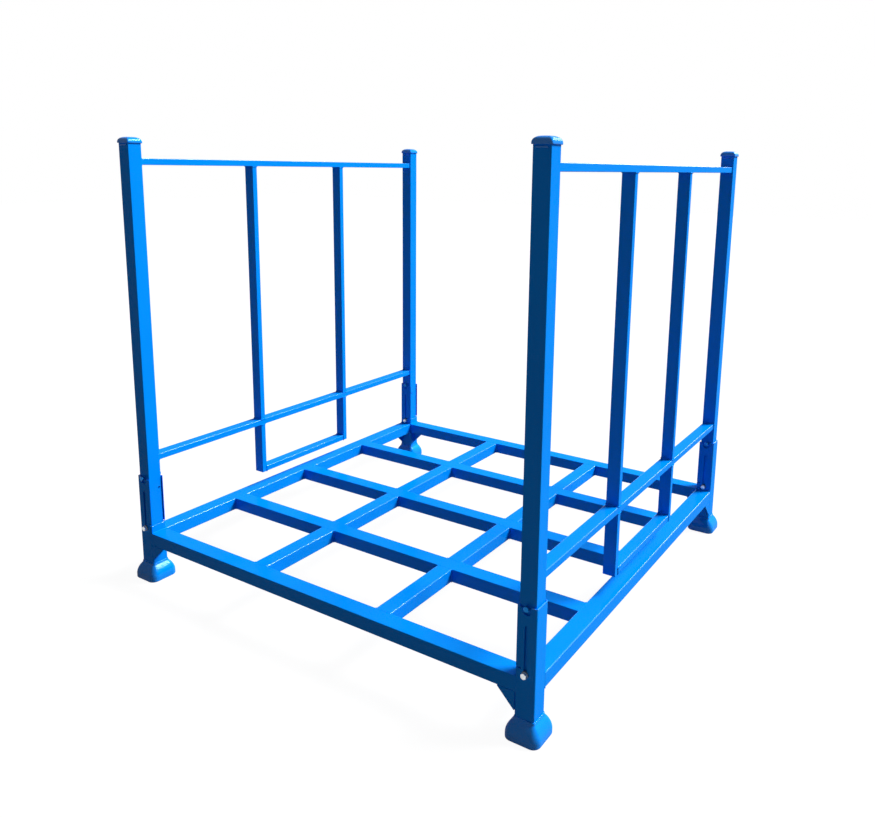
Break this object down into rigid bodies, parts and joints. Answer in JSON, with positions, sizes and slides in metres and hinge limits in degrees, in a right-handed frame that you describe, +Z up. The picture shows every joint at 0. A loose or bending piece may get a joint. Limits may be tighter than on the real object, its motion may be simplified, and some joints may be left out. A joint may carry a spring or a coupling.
{
  "type": "folding pallet stacking rack",
  "caption": "Blue powder-coated stacking rack for pallets: open tube deck on bell feet, end frames with capped posts that lift and fold inward over the deck.",
  "frame": {"origin": "middle of the plan at floor level", "axes": "+X across the width from the left end frame to the right one, +Y from front to back, +Z up"},
  "size_m": [1.0684, 1.0484, 1.005],
  "materials": {
    "blue_powder_coat": "smooth gloss powder coat",
    "zinc": "bright zinc plate"
  },
  "bodies": {
    "base": {"socket_front_left": "blue_powder_coat", "socket_front_right": "blue_powder_coat", "socket_back_left": "blue_powder_coat", "socket_back_right": "blue_powder_coat", "foot_front_left": "blue_powder_coat", "foot_front_right": "blue_powder_coat", "foot_back_left": "blue_powder_coat", "foot_back_right": "blue_powder_coat", "gussets_front_left": "blue_powder_coat", "gussets_front_right": "blue_powder_coat", "gussets_back_left": "blue_powder_coat", "gussets_back_right": "blue_powder_coat", "deck_beam_front": "blue_powder_coat", "deck_beam_back": "blue_powder_coat", "deck_beam_left": "blue_powder_coat", "deck_beam_right": "blue_powder_coat", "cross_beam_front": "blue_powder_coat", "cross_beam_middle": "blue_powder_coat", "cross_beam_back": "blue_powder_coat", "runner_left_1": "blue_powder_coat", "runner_left_2": "blue_powder_coat", "runner_left_3": "blue_powder_coat", "runner_left_4": "blue_powder_coat", "runner_right_1": "blue_powder_coat", "runner_right_2": "blue_powder_coat", "runner_right_3": "blue_powder_coat", "runner_right_4": "blue_powder_coat"},
    "left_pivot": {"left_pivot_bolts": "zinc", "left_pivot_nuts": "zinc"},
    "left_frame": {"left_post_front": "blue_powder_coat", "left_post_back": "blue_powder_coat", "left_cap_front": "blue_powder_coat", "left_cap_back": "blue_powder_coat", "left_top_rail": "blue_powder_coat", "left_lower_rail": "blue_powder_coat", "left_upright_front": "blue_powder_coat", "left_upright_back": "blue_powder_coat", "left_stub_front": "blue_powder_coat", "left_stub_back": "blue_powder_coat", "left_bottom_bar": "blue_powder_coat", "left_lock_pins": "blue_powder_coat"},
    "right_pivot": {"right_pivot_bolts": "zinc", "right_pivot_nuts": "zinc"},
    "right_frame": {"right_post_front": "blue_powder_coat", "right_post_back": "blue_powder_coat", "right_cap_front": "blue_powder_coat", "right_cap_back": "blue_powder_coat", "right_top_rail": "blue_powder_coat", "right_lower_rail": "blue_powder_coat", "right_upright_front": "blue_powder_coat", "right_upright_back": "blue_powder_coat", "right_stub_front": "blue_powder_coat", "right_stub_back": "blue_powder_coat", "right_bottom_bar": "blue_powder_coat", "right_lock_pins": "blue_powder_coat"}
  },
  "joints": [
    {"name": "left_lift", "type": "slide", "parent": "base", "child": "left_pivot", "axis": [0, 0, 1], "range_m": [0, 0.048]},
    {"name": "left_fold", "type": "hinge", "parent": "left_pivot", "child": "left_frame", "pos_m": [-0.5, 0, 0.124], "axis": [0, 1, 0], "range_deg": [0, 90]},
    {"name": "right_lift", "type": "slide", "parent": "base", "child": "right_pivot", "axis": [0, 0, 1], "range_m": [0, 0.086]},
    {"name": "right_fold", "type": "hinge", "parent": "right_pivot", "child": "right_frame", "pos_m": [0.5, 0, 0.124], "axis": [0, -1, 0], "range_deg": [0, 90]}
  ],
  "couplings": [
    {"joint": "left_lift", "follows": "left_fold", "m_per_rad": 0.0299},
    {"joint": "right_lift", "follows": "right_fold", "m_per_rad": 0.0541}
  ]
}
